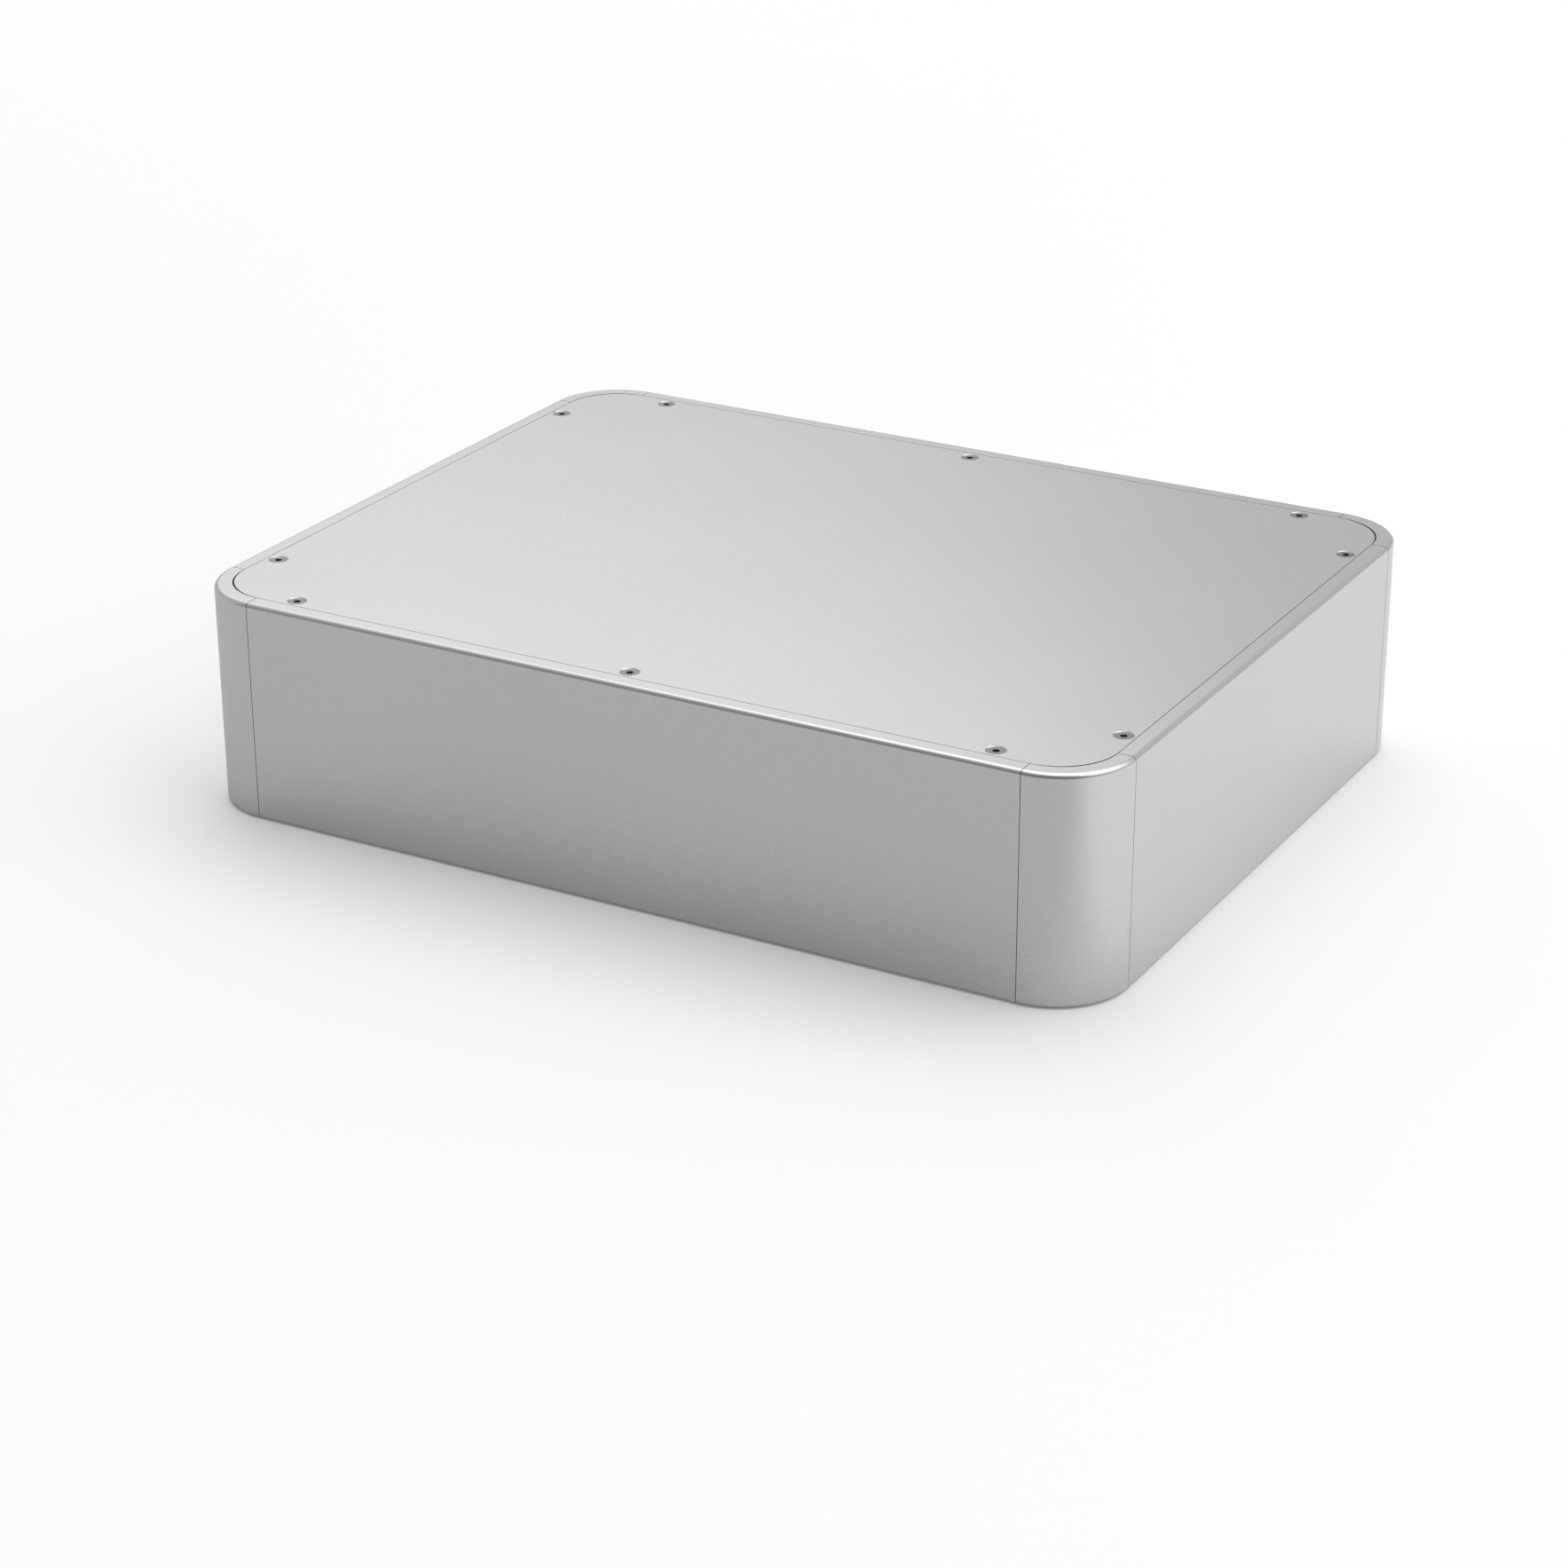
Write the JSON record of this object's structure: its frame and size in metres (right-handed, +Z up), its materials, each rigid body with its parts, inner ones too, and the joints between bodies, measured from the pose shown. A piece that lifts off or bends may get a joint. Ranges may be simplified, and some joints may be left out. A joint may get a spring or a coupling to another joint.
{
  "type": "extruded aluminium enclosure",
  "caption": "Flat rectangular equipment case with rounded upright corners, extruded side panels, corner posts and flush screwed covers.",
  "frame": {"origin": "centre of the underside, on the surface that the case rests on", "axes": "+X to the right along the case's width, +Y to the rear, +Z up through the top cover"},
  "size_m": [0.3, 0.23, 0.0694],
  "materials": {
    "covers": "natural satin anodised, bead blasted",
    "panels": "natural satin anodised, bead blasted",
    "posts": "natural satin anodised, bead blasted",
    "brackets": "zinc plated",
    "screws": "plain stainless steel"
  },
  "bodies": {
    "root": {"top_cover": "covers", "bottom_cover": "covers", "front_panel": "panels", "rear_panel": "panels", "left_panel": "panels", "right_panel": "panels", "front_left_post": "posts", "front_right_post": "posts", "rear_left_post": "posts", "rear_right_post": "posts", "upper_front_left_bracket": "brackets", "upper_front_right_bracket": "brackets", "upper_rear_left_bracket": "brackets", "upper_rear_right_bracket": "brackets", "lower_front_left_bracket": "brackets", "lower_front_right_bracket": "brackets", "lower_rear_left_bracket": "brackets", "lower_rear_right_bracket": "brackets", "upper_slide_nuts": "brackets", "lower_slide_nuts": "brackets", "upper_bracket_screws": "screws", "lower_bracket_screws": "screws", "top_cover_screws": "screws", "bottom_cover_screws": "screws"}
  },
  "joints": []
}
